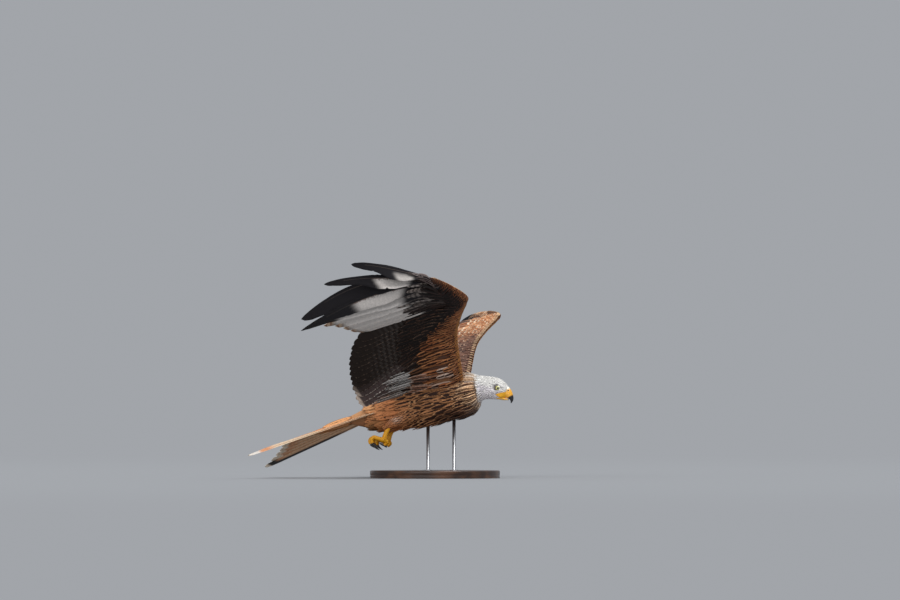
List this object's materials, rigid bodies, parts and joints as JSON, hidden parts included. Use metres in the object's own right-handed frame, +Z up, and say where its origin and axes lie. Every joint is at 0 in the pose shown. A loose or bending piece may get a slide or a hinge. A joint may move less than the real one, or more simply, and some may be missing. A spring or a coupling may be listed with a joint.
{
  "type": "red kite in flight, life-size display model",
  "caption": "Life-size bird of prey in level flight with raised wings and a forked tail, held over a round wooden base by two steel rods.",
  "frame": {"origin": "centre of the underside of the round base, on the floor", "axes": "+Z up; the bird flies along +X, turned a little towards -Y; its wings reach along Y"},
  "size_m": [0.6117, 1.1282, 0.4979],
  "materials": {
    "head_feathers": "soft, pale grey with fine dark streaks",
    "body_feathers": "soft, rufous brown with dark shaft streaks",
    "tail_feathers": "satin, rufous orange above, paler below",
    "wing_feathers": "satin, dark brown with rufous coverts and a white window below",
    "bill": "horn, yellow at the base and black at the hook",
    "eyes": "glossy, pale yellow iris and black pupil",
    "feet": "scaled yellow skin",
    "claws": "polished black horn",
    "stand_steel": "brushed",
    "stand_wood": "satin varnish"
  },
  "bodies": {
    "root": {"head": "head_feathers", "bill_upper": "bill", "bill_lower": "bill", "neck": "head_feathers", "torso": "body_feathers", "tail": "tail_feathers", "wing_left": "wing_feathers", "wing_right": "wing_feathers", "eye_left": "eyes", "eye_right": "eyes", "thigh_left": "body_feathers", "thigh_right": "body_feathers", "foot_left": "feet", "foot_right": "feet", "claw_left_1": "claws", "claw_left_2": "claws", "claw_left_3": "claws", "claw_left_4": "claws", "claw_right_1": "claws", "claw_right_2": "claws", "claw_right_3": "claws", "claw_right_4": "claws", "stand_rod_front": "stand_steel", "stand_rod_rear": "stand_steel", "stand_base": "stand_wood"}
  },
  "joints": []
}
